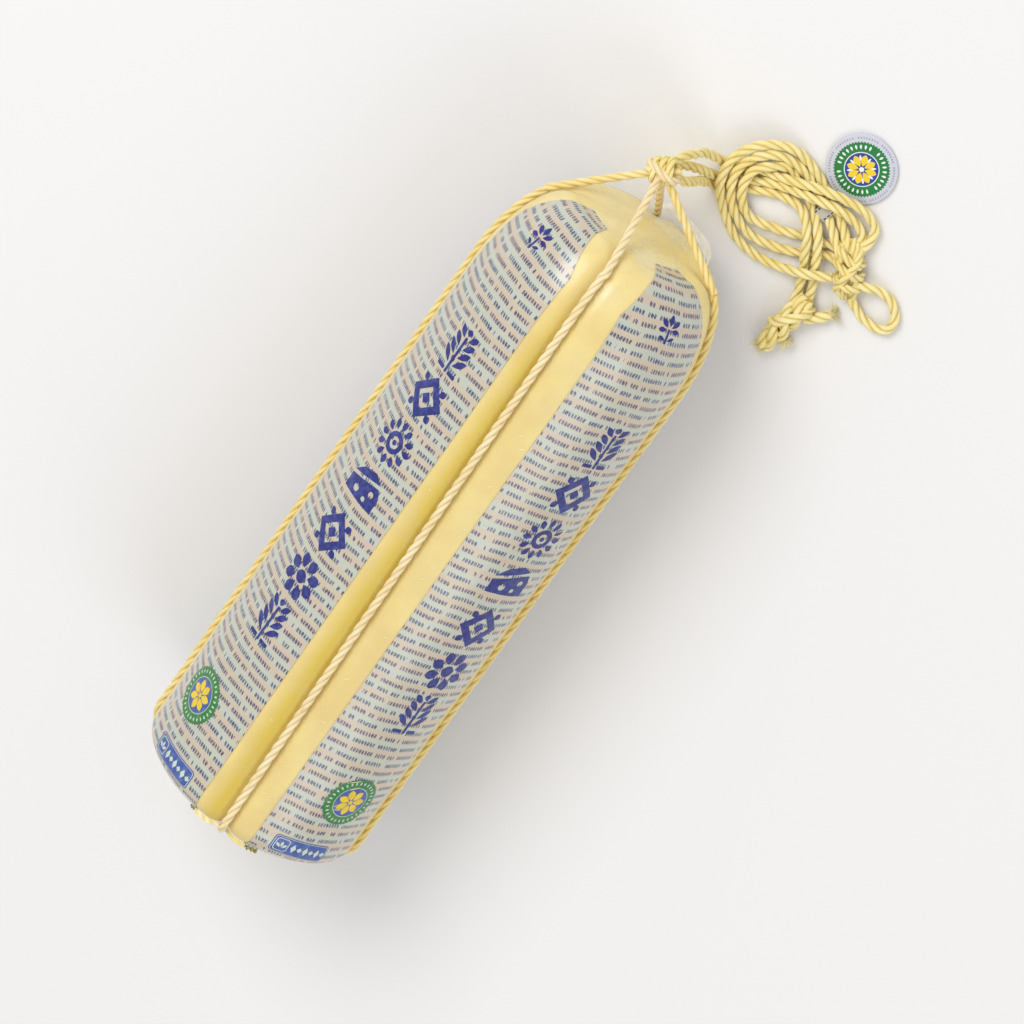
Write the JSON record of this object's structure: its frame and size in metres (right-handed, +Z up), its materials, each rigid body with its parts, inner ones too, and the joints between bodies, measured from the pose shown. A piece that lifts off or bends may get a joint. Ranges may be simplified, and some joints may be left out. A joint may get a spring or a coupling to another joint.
{
  "type": "bound provolone cheese",
  "caption": "Long cylindrical provolone cheese in tight printed film, bound with lengthwise ropes that meet in a knot, with its loosely coiled hanging rope and a round seal, lying on its side",
  "frame": {"origin": "middle of the underside of the box of the cheese and its binding ropes, on the surface it lies on; the hanging rope and seal are left out of that box", "axes": "+X runs along the cheese towards its top end, +Z is up, +Y is across"},
  "size_m": [0.4785, 0.196, 0.1257],
  "materials": {
    "film": "clear film tight over pale yellow cheese, with printed panels",
    "binding_rope": "laid natural fibre rope, pale straw",
    "hanging_rope": "laid natural fibre rope, straw yellow",
    "seal": "printed round seal, pale rim and green ring",
    "seal_strip": "thin grey strip"
  },
  "bodies": {
    "root": {"cheese": "film", "binding_rope_upright": "binding_rope", "binding_rope_level": "binding_rope", "apex_knot": "binding_rope", "main_knot": "hanging_rope", "tail_knot": "hanging_rope", "hanging_strand_1": "hanging_rope", "hanging_strand_2": "hanging_rope", "hanging_strand_3": "hanging_rope", "coil_strand_1": "hanging_rope", "coil_strand_2": "hanging_rope", "coil_strand_3": "hanging_rope", "bow_loop": "hanging_rope", "tail_end": "hanging_rope", "tail_stub": "hanging_rope", "seal_disc": "seal", "seal_strip": "seal_strip"}
  },
  "joints": []
}
